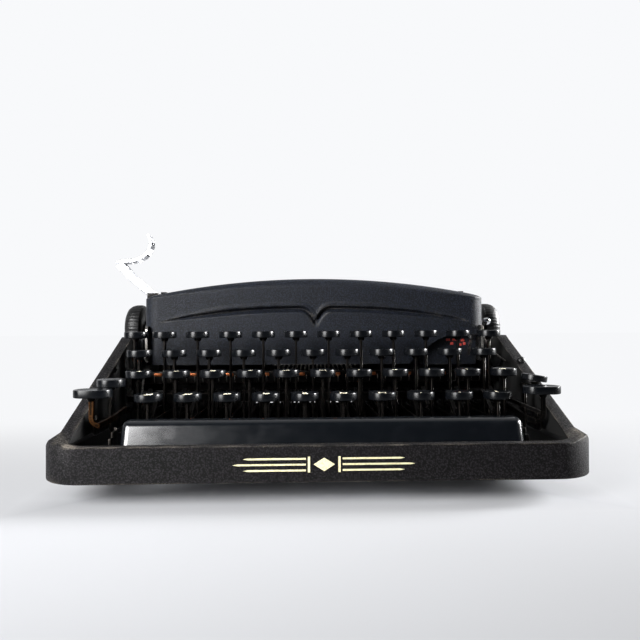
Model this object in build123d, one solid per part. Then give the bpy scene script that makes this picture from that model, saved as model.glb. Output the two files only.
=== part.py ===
from build123d import *
import os
from math import cos, radians, sin

# A portable manual typewriter: 42 character keys in four rows, a covered type basket and a
# carriage that slides across the back. X runs to the typist's right, Y to the back, Z up.
# The origin is on the table, under the middle of the footprint.

# ---- overall sizes, mm ----
case_width = 236  # across the side walls, above the flare
case_depth = 285
case_bottom = 10  # height of the casting's underside, which is the foot height
lip_top = 26.8  # top of the front lip
shoulder_top = 72.5  # top of the side walls beside the cover
rear_top = 56  # top of the side walls under the carriage
lip_wall = 6
side_wall = 6.5
flare = 7  # how far the foot of each side wall stands out
flare_bottom = 24
flare_wall_drop = 2.7  # lowers the inside of the flare, so that the sloping wall keeps its thickness
rear_wall = 6
front_corner_radius = 21
rear_corner_radius = 14
running_clearance = 0.05  # radial, between a pin or shaft and its bore

# ---- places along the depth, measured back from the front lip ----
slope_start = 15  # where the side walls start to rise
slope_end = 102
shoulder_start = 107
shoulder_end = 128
rear_start = 136
deck_start = 204  # front edge of the deck over the back of the case
deck_thickness = 3
row_1_back = 34.5  # the row nearest the typist
row_step_back = 18.6
row_step_up = 9.9
cover_front = 109
cover_depth = 41
platen_back = 173
fulcrum_back = 215

# ---- keyboard ----
key_pitch = 19.05
row_1_top = 46
cap_radius = 6.75
cap_height = 3.3
strip = 1.2  # thickness of the levers' steel strip
stem_depth = 4.6
lever_bottom = 26
lever_height = 6
fulcrum_radius = 2.5
eye_radius = 6
lever_pitch = key_pitch / 4
lever_count = 42
row_keys = {
    "row_4": ["2", "3", "4", "5", "6", "7", "8", "9", "0", "hyphen"],
    "row_3": ["q", "w", "e", "r", "t", "y", "u", "i", "o", "p", "half"],
    "row_2": ["a", "s", "d", "f", "g", "h", "j", "k", "l", "semicolon", "apostrophe"],
    "row_1": ["z", "x", "c", "v", "b", "n", "m", "comma", "period", "slash"],
}
row_order = ["row_1", "row_2", "row_3", "row_4"]
first_lever = {"row_3": 0, "row_2": 1, "row_4": 2, "row_1": 3}

# ---- keys at the ends of the keyboard: centre x, distance back, height of the top ----
back_space_place = (-104.6, row_1_back + 3 * row_step_back, row_1_top + 3 * row_step_up)
back_space_lever_x = -105.2
margin_release_place = (101.6, row_1_back + 3 * row_step_back, row_1_top + 3 * row_step_up)
shift_lock_place = (-103.4, 41.4, 52.6)
tabulator_place = (110.4, 42.5, 54.2)
tabulator_lever_x = 104.6
shift_cap_x = 107.6
shift_lever_x = 108.4
shift_cap_back = 27.6
shift_cap_top = 49
shift_cap_width = 18
shift_cap_depth = 12.2
bail_back = 199
bail_size = 3

# ---- space bar ----
bar_length = 179
bar_depth = 14
bar_height = 8
bar_top = 36
bar_back = 15
bar_corner_radius = 4
bar_rod_size = 4
bar_rod_top = 21.5
bar_post_x = 60
bar_lever_bottom = 22

# ---- top cover ----
cover_width = 213
cover_bottom = 55
cover_top = 111.3
cover_shoulder = 96.5
cover_corner_top = 103.5
cover_corner = 7
cover_wall = 2
cover_hinge_in = 5.5  # hinge pin centre, back from the cover's front
cover_hinge_up = 6.5  # and up from its lower edge
cover_pin_radius = 2
notch_width = 23.5  # cut-out at the cover's lower right corner
notch_height = 17.4
strike_slot_width = 46  # opening in the cover's top where the type reaches the paper
strike_slot_depth = 14

# ---- type basket and ribbon spools ----
basket_centre_z = 98
basket_front = 131.4
basket_inner_radius = 24
basket_outer_radius = 32
basket_thickness = 8
basket_spread = 66  # degrees to each side of straight down
type_bar_start = 26
type_bar_gap = 11.84  # from the outermost type bar's end to a spool's edge
type_bar_width = 1
type_bar_depth = 2.6
basket_post_x = 22
basket_post_bottom = 44
spool_back = 131
spool_radius = 17
spool_height = 12
spool_post_radius = 2.5
spool_side_gap = 7.5  # from a spool's edge to the cover's inner face
shelf_side_gap = 5.5
shelf_top = 79
shelf_thickness = 2.5
shelf_foot_top = 48.5

# ---- carriage ----
rail_width = 4
rail_height = 4.4
front_rail_back = 154
rear_rail_back = 199
rail_gap = 0.6  # air under the sliding carriage
plate_inner = 109  # inner face of the end plates
plate_thickness = 4
truck_height = 4
front_bar_height = 11
front_bar_thickness = 2.5
rear_bar_front = 193
rear_bar_depth = 12
plate_top = 92
platen_radius = 16
platen_length = 214
platen_axis_z = 77.4
shaft_radius = 3.5
knob_radius = 17
knob_inner = 121
knob_outer = 135
table_width = 206
table_thickness = 1.6
table_lean = 25
table_height = 43
bail_rod_radius = 1.5
bail_roller_radius = 4
bail_roller_length = 12
bail_roller_x = 45
bail_roller_gap = 0.4
bail_angle = 65  # degrees above the horizontal, seen from the platen's axis
bail_pivot_back = 191
bail_pivot_z = 100.5
bail_pin_radius = 2
bail_arm_x = 104
bail_arm_height = 4
lever_pin_radius = 2
lever_hub_radius = 4
line_lever_x = -111
line_lever_z = 98
line_lever_width = 4.2
line_lever_depth = 9
ear_gap = 0.4
ear_thickness = 2.2

# ---- feet ----
foot_radius = 9
foot_x = 98
foot_front_back = 52
foot_rear_inset = 27  # rear feet, forward from the back face
boss_radius = 12
boss_height = 2.5
foot_rear_back = case_depth - foot_rear_inset
inner_face = case_width / 2 - side_wall
cover_inner_x = cover_width / 2 - cover_wall
spool_x = cover_inner_x - spool_side_gap - spool_radius
shelf_reach = cover_inner_x - shelf_side_gap  # outer edge of the spool shelf
type_bar_end = (spool_x - spool_radius - type_bar_gap) / sin(radians(basket_spread))
fulcrum_z = lever_bottom + lever_height / 2
carriage_bottom = rear_top + rail_height + rail_gap


def back(distance):
    """Y of a place given as its distance back from the front lip."""
    return distance - case_depth / 2


def block(x0, x1, back0, back1, z0, z1):
    """A box between two X, two distances back and two heights."""
    size = (x1 - x0, back1 - back0, z1 - z0)
    return Pos((x0 + x1) / 2, back((back0 + back1) / 2), (z0 + z1) / 2) * Box(*size)


def rod(radius, x0, x1, distance, z):
    """A round bar along X."""
    return Pos((x0 + x1) / 2, back(distance), z) * Rot(0, 90, 0) * Cylinder(radius, x1 - x0)


def slab(points, x0, x1):
    """An outline of (distance back, height) points, pulled out along X from x0 to x1."""
    outline = make_face(Polyline(*[(back(d), z) for d, z in points], close=True))
    return Plane.YZ.offset(x0) * extrude(outline, x1 - x0)


def save(parts, name):
    """Write one node, from one solid or a list of separate solids."""
    parts = parts if isinstance(parts, list) else [parts]
    solids = [solid for part in parts for solid in part.solids()]
    shape = solids[0] if len(solids) == 1 else Compound(children=solids)
    shape.label = name
    export_step(shape, f"parts/{name}.step")


def flared(half, bottom, top, inset):
    """The case seen from the front: upright sides that flare out to a wider foot."""
    foot, low = half + flare, flare_bottom - inset
    right = [(foot, bottom), (foot, low), (half, low + flare), (half, top)]
    outline = make_face(Polyline(*right, *[(-x, z) for x, z in reversed(right)], close=True))
    return Plane.XZ.offset(-case_depth) * extrude(outline, 2 * case_depth)


def base_frame():
    """The cast frame: front lip, flared side walls and a low back with a small rear deck."""
    middle = case_depth / 2
    height = shoulder_top - case_bottom
    body = Pos(0, 0, case_bottom + height / 2) * Box(case_width + 2 * flare, case_depth, height)
    uprights = body.edges().filter_by(Axis.Z)
    body = fillet(uprights.group_by(Axis.Y)[0], front_corner_radius)
    body = fillet(body.edges().filter_by(Axis.Z).group_by(Axis.Y)[-1], rear_corner_radius)
    side = [
        (0, case_bottom),
        (0, lip_top),
        (slope_start, lip_top + 4),
        (slope_end, shoulder_top - 2.4),
        (shoulder_start, shoulder_top),
        (shoulder_end, shoulder_top),
        (rear_start, rear_top),
        (case_depth, rear_top),
        (case_depth, case_bottom),
    ]
    body = body & slab(side, -case_width, case_width) & flared(case_width / 2, case_bottom, shoulder_top, 0)
    inside_length = case_depth - lip_wall - rear_wall
    inside_width = 2 * (inner_face + flare)
    inside = Pos(0, (lip_wall - rear_wall) / 2, middle) * Box(inside_width, inside_length, case_depth)
    inner_radius = front_corner_radius - side_wall
    inside = fillet(inside.edges().filter_by(Axis.Z).group_by(Axis.Y)[0], inner_radius)
    inside = fillet(inside.edges().filter_by(Axis.Z).group_by(Axis.Y)[-1], rear_corner_radius - rear_wall)
    body = body - (inside & flared(inner_face, 0, case_depth, flare_wall_drop))
    deck = block(-inner_face, inner_face, deck_start, case_depth - rear_wall, rear_top - deck_thickness, rear_top)
    body = body + deck
    for x in (-foot_x, foot_x):
        for distance in (foot_front_back, foot_rear_back):
            out = inner_face + flare if x > 0 else -inner_face - flare
            boss = block(min(x, out), max(x, out), distance - boss_radius, distance + boss_radius,
                         case_bottom, case_bottom + boss_height)
            pad = Pos(x, back(distance), case_bottom + boss_height / 2) * Cylinder(boss_radius, boss_height)
            body = body + boss + pad
    return body


def rubber_feet():
    """Four round rubber feet under the frame's bosses."""
    places = [(x, d) for x in (-foot_x, foot_x) for d in (foot_front_back, foot_rear_back)]
    return [Pos(x, back(d), case_bottom / 2) * Cylinder(foot_radius, case_bottom) for x, d in places]


def lever_plane(index):
    """X of one of the evenly spaced lever planes, numbered from the left."""
    return (index - (lever_count - 1) / 2) * lever_pitch


def guide_comb():
    """The comb that keeps the levers in their planes, with teeth between them."""
    comb_back = row_1_back + 3 * row_step_back + 9
    bar_bottom = lever_bottom + lever_height + 2
    comb = block(-inner_face, inner_face, comb_back - 1, comb_back + 1, bar_bottom, bar_bottom + 5)
    for index in range(1, lever_count - 2):
        x = lever_plane(index + 0.5)
        comb = comb + block(x - 0.8, x + 0.8, comb_back - 1, comb_back + 1, case_bottom + 2, bar_bottom)
    return comb


def spool_shelf(side):
    """One bent shelf that stands on the side wall and carries a ribbon spool's post."""
    inner = spool_x - spool_radius
    shelf_bottom = shelf_top - shelf_thickness
    foot_bottom = shelf_foot_top - shelf_thickness
    front, rear = spool_back - 15, spool_back + 15
    shelf = block(inner, shelf_reach, front, rear, shelf_bottom, shelf_top)
    shelf = shelf + block(shelf_reach - shelf_thickness, shelf_reach, front + 5, rear - 5, foot_bottom, shelf_bottom)
    shelf = shelf + block(shelf_reach, inner_face, front + 5, rear - 5, foot_bottom, shelf_foot_top)
    post_height = spool_height + 3
    post = Pos(spool_x, back(spool_back), shelf_top + post_height / 2) * Cylinder(spool_post_radius, post_height)
    shelf = shelf + post
    return shelf if side > 0 else mirror(shelf, Plane.YZ)


def cross_rails():
    """The steel members across the frame: fulcrum shaft, comb, rails, cover pins and spool shelves."""
    rail_end = case_width / 2
    members = [rod(fulcrum_radius, -inner_face, inner_face, fulcrum_back, fulcrum_z), guide_comb()]
    for distance in (front_rail_back, rear_rail_back):
        members.append(block(-rail_end, rail_end, distance - rail_width / 2, distance + rail_width / 2,
                             rear_top, rear_top + rail_height))
    pin_inner = cover_inner_x - 1.5
    pin_back, pin_z = cover_front + cover_hinge_in, cover_bottom + cover_hinge_up
    members.append(rod(cover_pin_radius, pin_inner, inner_face, pin_back, pin_z))
    members.append(rod(cover_pin_radius, -inner_face, -pin_inner, pin_back, pin_z))
    members.append(spool_shelf(1))
    members.append(spool_shelf(-1))
    return members


def lever(x, start, bottom=lever_bottom, height=lever_height):
    """A lever strip from start back to its eye on the fulcrum shaft."""
    bar = block(x - strip / 2, x + strip / 2, start, fulcrum_back, bottom, bottom + height)
    bar = bar + rod(eye_radius, x - strip / 2, x + strip / 2, fulcrum_back, fulcrum_z)
    bore = rod(fulcrum_radius + running_clearance, x - strip, x + strip, fulcrum_back, fulcrum_z)
    return bar - bore


def key(x, distance, top, lever_x=None):
    """A round key top on its stem and lever."""
    lever_x = x if lever_x is None else lever_x
    cap = Pos(x, back(distance), top - cap_height / 2) * Cylinder(cap_radius, cap_height)
    front = distance - stem_depth / 2
    stem = block(lever_x - strip / 2, lever_x + strip / 2, front, front + stem_depth,
                 lever_bottom + lever_height, top - cap_height)
    return [cap, stem, lever(lever_x, front)]


def character_keys():
    """Every character key, by its name."""
    keys = {}
    for row, name in enumerate(row_order):
        for column, legend in enumerate(row_keys[name]):
            x = lever_plane(first_lever[name] + 4 * column)
            keys[f"key_{legend}"] = key(x, row_1_back + row * row_step_back, row_1_top + row * row_step_up)
    return keys


def shift_keys():
    """Both shift keys, which are one piece: caps, stems, levers and the bail that joins them."""
    pieces = []
    for side in (-1, 1):
        x = side * shift_lever_x
        radius = shift_cap_depth / 2 - 0.5
        cap = Pos(0, 0, shift_cap_top - cap_height) * extrude(
            RectangleRounded(shift_cap_width, shift_cap_depth, radius), cap_height)
        pieces.append(Pos(side * shift_cap_x, back(shift_cap_back), 0) * cap)
        front = shift_cap_back - stem_depth / 2
        pieces.append(block(x - strip / 2, x + strip / 2, front, front + stem_depth,
                            lever_bottom + lever_height, shift_cap_top - cap_height))
        pieces.append(lever(x, front))
        pieces.append(block(x - strip / 2, x + strip / 2, bail_back - bail_size / 2, bail_back + bail_size / 2,
                            lever_bottom - 6, lever_bottom))
    end = shift_lever_x + strip / 2
    pieces.append(block(-end, end, bail_back - bail_size / 2, bail_back + bail_size / 2,
                        lever_bottom - 6 - bail_size, lever_bottom - 6))
    return pieces


def space_bar():
    """The space bar on two posts, a cross rod and two levers."""
    bar = block(-bar_length / 2, bar_length / 2, bar_back - bar_depth / 2, bar_back + bar_depth / 2,
                bar_top - bar_height, bar_top)
    bar = fillet(bar.edges().filter_by(Axis.Z), bar_corner_radius)
    bar = fillet(bar.faces().sort_by(Axis.Z)[-1].edges(), min(2.5, bar_height / 3))
    arm_x = abs(lever_plane(0.5))
    half_rod = bar_rod_size / 2
    pieces = [bar]
    end = arm_x + strip / 2
    pieces.append(block(-end, end, bar_back - half_rod, bar_back + half_rod, bar_rod_top - bar_rod_size, bar_rod_top))
    for side in (-1, 1):
        pieces.append(block(side * bar_post_x - 2, side * bar_post_x + 2, bar_back - half_rod, bar_back + half_rod,
                            bar_rod_top, bar_top - bar_height))
        x = side * arm_x
        pieces.append(block(x - strip / 2, x + strip / 2, bar_back - half_rod, bar_back + half_rod,
                            bar_rod_top, bar_lever_bottom + lever_height))
        pieces.append(lever(x, bar_back + half_rod, bar_lever_bottom))
    return pieces


def cover_outline(inset):
    """The cover's front outline: straight sides, round shoulders and a shallow arch."""
    half = cover_width / 2 - inset
    low, shoulder = cover_bottom, cover_shoulder
    top, corner_z = cover_top - inset, cover_corner_top - inset
    corner_x = half - cover_corner
    outline = [
        Line((-half, low), (half, low)),
        Line((half, low), (half, shoulder)),
        ThreePointArc((half, shoulder), (half - 0.3 * cover_corner, shoulder + 0.68 * (corner_z - shoulder)),
                      (corner_x, corner_z)),
        ThreePointArc((corner_x, corner_z), (0, top), (-corner_x, corner_z)),
        ThreePointArc((-corner_x, corner_z), (0.3 * cover_corner - half, shoulder + 0.68 * (corner_z - shoulder)),
                      (-half, shoulder)),
        Line((-half, shoulder), (-half, low)),
    ]
    return make_face(outline)


def top_cover():
    """The arched cover over the type basket, open below and behind, on two hinge pins."""
    front = Plane.XZ.offset(-back(cover_front))
    cover = front * extrude(cover_outline(0), -cover_depth)
    inside = Plane.XZ.offset(-back(cover_front + cover_wall))
    cavity = inside * Pos(0, -cover_wall, 0) * extrude(cover_outline(cover_wall), -cover_depth)
    cavity = cavity + inside * extrude(cover_outline(cover_wall), -cover_depth)
    cover = cover - cavity
    half = cover_width / 2
    pin_back, pin_z = cover_front + cover_hinge_in, cover_bottom + cover_hinge_up
    cover = cover - rod(cover_pin_radius + running_clearance, -half - 1, half + 1, pin_back, pin_z)
    notch_top = cover_bottom + notch_height
    cover = cover - block(half - notch_width, half - cover_wall, cover_front - 1, cover_front + cover_wall + 1,
                          cover_bottom - 1, notch_top)
    rear = cover_front + cover_depth
    half_slot = strike_slot_width / 2
    cover = cover - block(-half_slot, half_slot, rear - strike_slot_depth, rear + 1, cover_shoulder, cover_top + 1)
    return cover


def type_basket():
    """The segment with its posts, and the type bars resting in a fan in front of it."""
    rear = basket_front + type_bar_depth
    ring = Circle(basket_outer_radius) - Circle(basket_inner_radius)
    reach = 2 * basket_outer_radius
    spread = radians(basket_spread + 4)
    wedge = make_face(Polyline((0, 0), (-reach * sin(spread), -reach * cos(spread)), (-reach, -2 * reach),
                               (reach, -2 * reach), (reach * sin(spread), -reach * cos(spread)), close=True))
    plane = Plane.XZ.offset(-back(rear))
    segment = plane * Pos(0, basket_centre_z, 0) * extrude(ring & wedge, -basket_thickness)
    post_top = basket_centre_z - basket_inner_radius
    for x in (-basket_post_x, basket_post_x):
        segment = segment + block(x - 2, x + 2, rear + 2, rear + 6, basket_post_bottom, post_top)
    bars = [segment]
    length = type_bar_end - type_bar_start
    middle = (type_bar_start + type_bar_end) / 2
    for index in range(lever_count):
        angle = basket_spread * (2 * index / (lever_count - 1) - 1)
        bar = Pos(0, 0, -middle) * Box(type_bar_width, type_bar_depth, length)
        hub = Pos(0, back(basket_front + type_bar_depth / 2), basket_centre_z)
        bars.append(hub * Rot(0, angle, 0) * bar)
    return bars


def ribbon_spool(side):
    """One ribbon spool, flanged top and bottom, wound with ribbon, on its post."""
    bottom = shelf_top + 0.5
    flange = 1.2
    spool = Pos(0, 0, spool_height / 2) * Cylinder(spool_radius - 2.5, spool_height)
    for z in (flange / 2, spool_height - flange / 2):
        spool = spool + Pos(0, 0, z) * Cylinder(spool_radius, flange)
    spool = spool - Pos(0, 0, spool_height / 2) * Cylinder(spool_post_radius + running_clearance, spool_height + 2)
    return Pos(side * spool_x, back(spool_back), bottom) * spool


def carriage_frame():
    """End plates joined by a front bar and a rear bar that ride over the rails."""
    outer = plate_inner + plate_thickness
    front = front_rail_back - rail_width / 2
    rear = rear_bar_front + rear_bar_depth
    low = carriage_bottom
    frame = block(-outer, outer, front, front + front_bar_thickness, low, low + front_bar_height)
    frame = frame + block(-outer, outer, rear_bar_front, rear, low, low + truck_height)
    plate_outline = [
        (front, low),
        (front, plate_top - 12),
        (front + 8, plate_top),
        (bail_pivot_back - 7, plate_top),
        (bail_pivot_back - 5, bail_pivot_z + 4),
        (bail_pivot_back + 5, bail_pivot_z + 4),
        (rear, plate_top - 10),
        (rear, low),
    ]
    plate = slab(plate_outline, plate_inner, outer)
    shaft_bore = rod(shaft_radius + running_clearance, -outer - 1, outer + 1, platen_back, platen_axis_z)
    pin_bore = rod(bail_pin_radius + running_clearance, -outer - 1, outer + 1, bail_pivot_back, bail_pivot_z)
    frame = frame + plate + mirror(plate, Plane.YZ) - shaft_bore - pin_bore
    hub_front = front + 5
    ear_in = line_lever_x + lever_hub_radius - 0.6
    ear_out = line_lever_x - lever_hub_radius
    for ear_front in (hub_front - ear_thickness, hub_front + line_lever_depth + 2 * ear_gap):
        ear = block(ear_out, ear_in, ear_front, ear_front + ear_thickness, plate_top - 16, line_lever_z + lever_hub_radius)
        frame = frame + ear
    pin_length = line_lever_depth + 2 * ear_gap + 2 * ear_thickness
    pin_middle = hub_front + line_lever_depth / 2 + ear_gap
    pin = Pos(line_lever_x, back(pin_middle), line_lever_z) * Rot(90, 0, 0) * Cylinder(lever_pin_radius, pin_length)
    return frame + pin


def paper_table():
    """The sheet behind the platen that the paper leans on."""
    low = carriage_bottom + truck_height
    sheet = Box(table_width, table_thickness, table_height, align=(Align.CENTER, Align.CENTER, Align.MIN))
    sheet = fillet(sheet.edges().filter_by(Axis.Y).group_by(Axis.Z)[-1], 14)
    sheet = Pos(0, back(rear_bar_front + 4), low) * Rot(-table_lean, 0, 0) * sheet
    return sheet & block(-case_width, case_width, 0, case_depth, low, low + 2 * table_height)


def platen():
    """The rubber roller on its shaft, with a knob at each end."""
    half = platen_length / 2
    pieces = [rod(platen_radius, -half, half, platen_back, platen_axis_z)]
    for side in (-1, 1):
        start, end = sorted((side * half, side * knob_inner))
        pieces.append(rod(shaft_radius, start, end, platen_back, platen_axis_z))
        start, end = sorted((side * knob_inner, side * knob_outer))
        knob = rod(knob_radius, start, end, platen_back, platen_axis_z)
        rims = knob.edges().filter_by(GeomType.CIRCLE).sort_by(Axis.X)
        knob = fillet(rims[-1] if side > 0 else rims[0], 6)
        pieces.append(knob)
    return pieces


def line_space_lever():
    """The bright lever at the carriage's left end: a hub, an outward arm and a curled finger piece."""
    x, z = line_lever_x, line_lever_z
    elbow = (x - 25.2, z + 25.6)
    path = [
        Line((x, z), elbow),
        Line(elbow, (x - 13.5, z + 27.4)),
        ThreePointArc((x - 13.5, z + 27.4), (x - 4.6, z + 32.6), (x - 2.4, z + 39)),
        ThreePointArc((x - 2.4, z + 39), (x - 2.8, z + 41.6), (x - 5, z + 44.6)),
    ]
    front = front_rail_back - rail_width / 2 + 5 + ear_gap
    plane = Plane.XZ.offset(-back(front))
    arm = extrude(trace(path, line_lever_width * 0.62), -line_lever_depth)
    hub = Pos(x, z, 0) * extrude(Circle(lever_hub_radius), -line_lever_depth)
    bore = Pos(x, z, 0) * extrude(Circle(lever_pin_radius + running_clearance), -line_lever_depth)
    return plane * (arm + hub - bore)


def paper_bail():
    """The rod that holds the paper to the platen, with two rollers, arms and pivot pins."""
    reach = platen_radius + bail_roller_gap + bail_roller_radius
    rod_back = platen_back - reach * cos(radians(bail_angle))
    rod_z = platen_axis_z + reach * sin(radians(bail_angle))
    arm_half = 1
    outer = plate_inner + plate_thickness
    bail = rod(bail_rod_radius, -bail_arm_x, bail_arm_x, rod_back, rod_z)
    for x in (-bail_roller_x, bail_roller_x):
        bail = bail + rod(bail_roller_radius, x - bail_roller_length / 2, x + bail_roller_length / 2, rod_back, rod_z)
    half = bail_arm_height / 2
    outline = [
        (rod_back - half, rod_z),
        (rod_back, rod_z + half),
        (bail_pivot_back, bail_pivot_z + half + 1),
        (bail_pivot_back + 3, bail_pivot_z),
        (bail_pivot_back, bail_pivot_z - half - 1),
        (rod_back, rod_z - half),
    ]
    for side in (-1, 1):
        bail = bail + slab(outline, side * bail_arm_x - arm_half, side * bail_arm_x + arm_half)
        start, end = sorted((side * bail_arm_x, side * outer))
        bail = bail + rod(bail_pin_radius, start, end, bail_pivot_back, bail_pivot_z)
    return bail


def main():
    os.makedirs("parts", exist_ok=True)
    nodes = {
        "base_frame": base_frame(),
        "rubber_feet": rubber_feet(),
        "cross_rails": cross_rails(),
        "top_cover": top_cover(),
        "type_basket": type_basket(),
        "ribbon_spool_left": ribbon_spool(-1),
        "ribbon_spool_right": ribbon_spool(1),
        "carriage_frame": carriage_frame(),
        "paper_table": paper_table(),
        "platen": platen(),
        "line_space_lever": line_space_lever(),
        "paper_bail": paper_bail(),
        "space_bar": space_bar(),
        "shift_keys": shift_keys(),
        "back_space_key": key(*back_space_place, lever_x=back_space_lever_x),
        "margin_release_key": key(*margin_release_place),
        "shift_lock_key": key(*shift_lock_place),
        "tabulator_key": key(*tabulator_place, lever_x=tabulator_lever_x),
    }
    nodes.update(character_keys())
    for name, parts in nodes.items():
        save(parts, name)
        print(name)


main()
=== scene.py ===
from math import cos, hypot, pi, radians, sin, tau

import bmesh
import bpy
from mathutils import Euler, Matrix, Vector


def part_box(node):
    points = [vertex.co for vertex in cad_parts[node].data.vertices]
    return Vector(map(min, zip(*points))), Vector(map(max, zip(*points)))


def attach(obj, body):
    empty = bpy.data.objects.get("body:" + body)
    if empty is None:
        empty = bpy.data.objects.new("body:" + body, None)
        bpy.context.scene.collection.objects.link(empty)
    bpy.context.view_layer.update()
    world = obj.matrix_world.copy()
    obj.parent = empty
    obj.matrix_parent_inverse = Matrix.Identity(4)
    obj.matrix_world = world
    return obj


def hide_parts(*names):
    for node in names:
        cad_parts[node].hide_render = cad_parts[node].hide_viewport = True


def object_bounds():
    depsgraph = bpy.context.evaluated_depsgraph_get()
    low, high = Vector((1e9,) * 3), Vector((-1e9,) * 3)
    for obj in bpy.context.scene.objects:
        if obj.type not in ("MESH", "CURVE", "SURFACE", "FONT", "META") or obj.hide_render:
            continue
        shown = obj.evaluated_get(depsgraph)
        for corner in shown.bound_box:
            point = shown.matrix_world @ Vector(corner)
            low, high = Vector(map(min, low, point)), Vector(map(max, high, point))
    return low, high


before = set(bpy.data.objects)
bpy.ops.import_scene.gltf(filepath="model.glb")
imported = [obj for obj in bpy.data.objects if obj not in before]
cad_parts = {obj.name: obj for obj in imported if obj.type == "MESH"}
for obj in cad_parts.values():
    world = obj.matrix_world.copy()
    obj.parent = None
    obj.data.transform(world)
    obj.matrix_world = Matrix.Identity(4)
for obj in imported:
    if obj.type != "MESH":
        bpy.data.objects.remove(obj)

# A portable typewriter in black wrinkle enamel.
# Places are (x, distance back from the front lip, height) in mm.
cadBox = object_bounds()
mm = 0.001
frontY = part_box("base_frame")[0].y
keyNames = sorted(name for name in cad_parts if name.startswith("key_"))


def place(x, back, z):
    return Vector((x * mm, frontY + back * mm, z * mm))


def span(node):
    # a node's box as (x0, x1, back0, back1, z0, z1) in mm
    low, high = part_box(node)
    return (low.x / mm, high.x / mm, (low.y - frontY) / mm, (high.y - frontY) / mm, low.z / mm, high.z / mm)


# Shapes.
def soften(shape, radius, segments=2, angle=30):
    sharp = [e for e in shape.edges if e.is_manifold and e.calc_face_angle(0) > radians(angle)]
    bmesh.ops.bevel(shape, geom=sharp, offset=radius * mm, offset_type="OFFSET", affect="EDGES",
                    segments=segments, profile=0.5, material=-1, clamp_overlap=True)
    return shape


def turned(profile, steps=32):
    # (radius, height) points turned about Z
    shape = bmesh.new()
    points = [shape.verts.new((radius * mm, 0, height * mm)) for radius, height in profile]
    edges = [shape.edges.new(pair) for pair in zip(points, points[1:])]
    bmesh.ops.spin(shape, geom=points + edges, cent=(0, 0, 0), axis=(0, 0, 1), angle=tau,
                   steps=steps, use_merge=True)
    bmesh.ops.remove_doubles(shape, verts=shape.verts, dist=0.001 * mm)
    bmesh.ops.recalc_face_normals(shape, faces=shape.faces)
    return shape


def block(size, softening=0.3, segments=2):
    shape = bmesh.new()
    bmesh.ops.create_cube(shape, size=1)
    bmesh.ops.scale(shape, verts=shape.verts, vec=[s * mm for s in size])
    if softening:
        soften(shape, softening, segments)
    return shape


def plate(outline, thickness, corner=0, softening=0.15):
    # an (x, z) outline, thickened along the depth
    shape = bmesh.new()
    shape.faces.new([shape.verts.new((x * mm, 0, z * mm)) for x, z in outline])
    if corner:
        bmesh.ops.bevel(shape, geom=list(shape.verts), offset=corner * mm, affect="VERTICES",
                        segments=4, profile=0.5, material=-1)
    wall = bmesh.ops.extrude_face_region(shape, geom=list(shape.faces))
    moved = [v for v in wall["geom"] if isinstance(v, bmesh.types.BMVert)]
    bmesh.ops.translate(shape, verts=moved, vec=(0, thickness * mm, 0))
    bmesh.ops.recalc_face_normals(shape, faces=shape.faces)
    if softening:
        soften(shape, softening, 1)
    return shape


def bent(points, radius=2, steps=4):
    # rounds the corners of a bent strip or wire
    spots = [Vector(p) for p in points]
    path = [spots[0]]
    for before, corner, after in zip(spots, spots[1:], spots[2:]):
        start = corner + (before - corner).normalized() * min(radius, (before - corner).length * 0.45)
        end = corner + (after - corner).normalized() * min(radius, (after - corner).length * 0.45)
        for step in range(steps + 1):
            t = step / steps
            path.append(start.lerp(corner, t).lerp(corner.lerp(end, t), t))
    return path + [spots[-1]]


def swept(points, width, height, up=(0, 0, 1), sides=4, grow=None):
    # a strip (4 sides) or a wire drawn along machine points
    spots = [place(*p) for p in points]
    frames = []
    for index, spot in enumerate(spots):
        along = (spots[min(index + 1, len(spots) - 1)] - spots[max(index - 1, 0)]).normalized()
        side = along.cross(Vector(up)).normalized()
        turn = Matrix((side, side.cross(along), along)).transposed().to_4x4()
        size = grow[index] if grow else 1
        section = Matrix.Diagonal((width * size * mm, height * mm, 1, 1))
        frames.append(Matrix.Translation(spot) @ turn @ section)
    shape = bmesh.new()
    bmesh.ops.create_circle(shape, cap_ends=True, radius=0.5 / cos(pi / sides) if sides == 4 else 0.5,
                            segments=sides, matrix=Matrix.Rotation(pi / sides, 4, "Z"))
    end = shape.faces[:][0]
    bmesh.ops.transform(shape, matrix=frames[0], verts=end.verts)
    for old, new in zip(frames, frames[1:]):
        grown = bmesh.ops.extrude_face_region(shape, geom=[end])["geom"]
        end = [part for part in grown if isinstance(part, bmesh.types.BMFace)][0]
        bmesh.ops.transform(shape, matrix=new @ old.inverted(), verts=end.verts)
    bmesh.ops.recalc_face_normals(shape, faces=shape.faces)
    return shape


def put(shape, at=(0, 0, 0), turn=(0, 0, 0), finish=0):
    # moves a shape made at the origin to its place in the machine
    matrix = Matrix.Translation(place(*at)) @ Euler([radians(a) for a in turn]).to_matrix().to_4x4()
    shape.transform(matrix)
    return coat(shape, finish)


def coat(shape, finish):
    for face in shape.faces:
        face.material_index = finish
    return shape


def sideways(shape, x):
    # turns a plate to run front to back, its face at x
    shape.transform(Matrix.Rotation(radians(90), 4, "Z"))
    shape.transform(Matrix.Translation((x * mm, frontY, 0)))
    return coat(shape, 0)


def roundEdges(shape, edges, radius, segments=8):
    bmesh.ops.bevel(shape, geom=edges, offset=radius * mm, affect="EDGES",
                    segments=segments, profile=0.5, material=-1)


def mirrored(shape):
    shape.transform(Matrix.Diagonal((-1, 1, 1, 1)))
    bmesh.ops.recalc_face_normals(shape, faces=shape.faces)
    return shape


def cadCopy(node):
    # a CAD node's shape with its loose triangles merged
    shape = bmesh.new()
    shape.from_mesh(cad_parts[node].data)
    bmesh.ops.remove_doubles(shape, verts=shape.verts, dist=0.01 * mm)
    bmesh.ops.dissolve_limit(shape, angle_limit=radians(0.5), verts=shape.verts, edges=shape.edges)
    return coat(shape, 0)


def addToScene(made):
    bpy.context.scene.collection.objects.link(made)


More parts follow.
